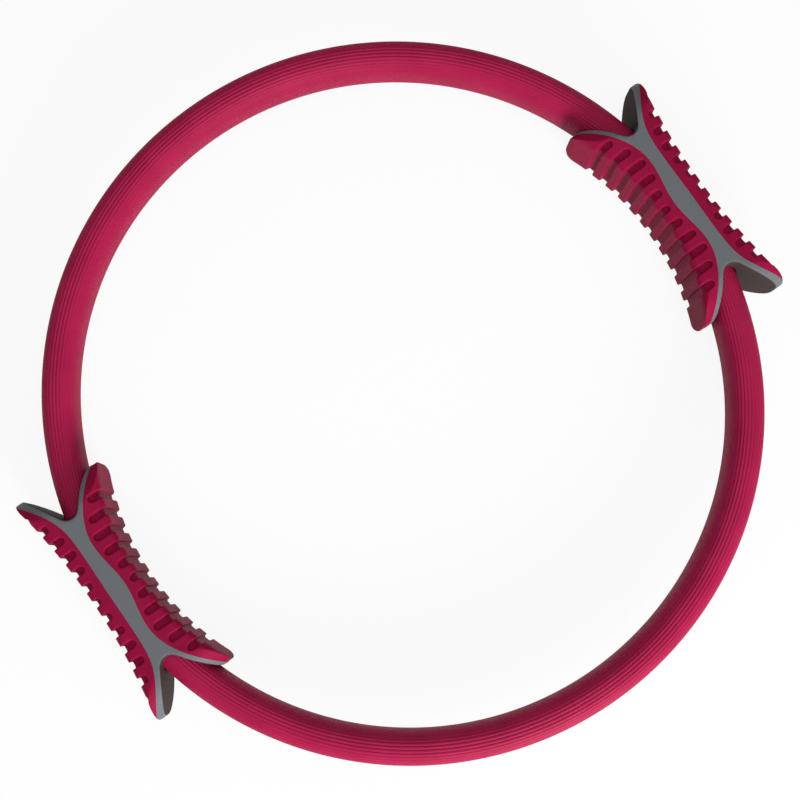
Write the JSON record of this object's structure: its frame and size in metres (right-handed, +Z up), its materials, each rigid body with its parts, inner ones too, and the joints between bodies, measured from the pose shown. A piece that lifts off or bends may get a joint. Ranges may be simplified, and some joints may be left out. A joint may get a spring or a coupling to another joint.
{
  "type": "pilates ring",
  "caption": "Sprung hoop with foam sleeves and two double-sided padded grips, squeezed between hands or legs.",
  "frame": {"origin": "centre of the ring, on the flat face it lies on", "axes": "+Z up, square to the ring; +X from the left grip to the right grip"},
  "size_m": [0.398, 0.3846, 0.05],
  "materials": {
    "glass_fibre": "satin",
    "sleeve_foam": "ribbed soft sheen",
    "grip_plastic": "fine matt texture",
    "pad_rubber": "soft matt",
    "steel": "plated"
  },
  "bodies": {
    "hoop": {"hoop_band_inner": "glass_fibre", "hoop_band_outer": "glass_fibre", "front_sleeve": "sleeve_foam", "rear_sleeve": "sleeve_foam", "left_inner_shell": "grip_plastic", "left_outer_shell": "grip_plastic", "left_inner_pad": "pad_rubber", "left_outer_pad": "pad_rubber", "left_shell_screws": "steel"},
    "right_grip": {"right_inner_shell": "grip_plastic", "right_outer_shell": "grip_plastic", "right_inner_pad": "pad_rubber", "right_outer_pad": "pad_rubber", "right_shell_screws": "steel"}
  },
  "joints": [
    {"name": "squeeze", "type": "slide", "parent": "hoop", "child": "right_grip", "axis": [-1, 0, 0], "range_m": [-0.02, 0.07], "stiffness_N_per_m": 1200, "deforming": ["hoop_band_inner", "hoop_band_outer", "front_sleeve", "rear_sleeve"]}
  ]
}
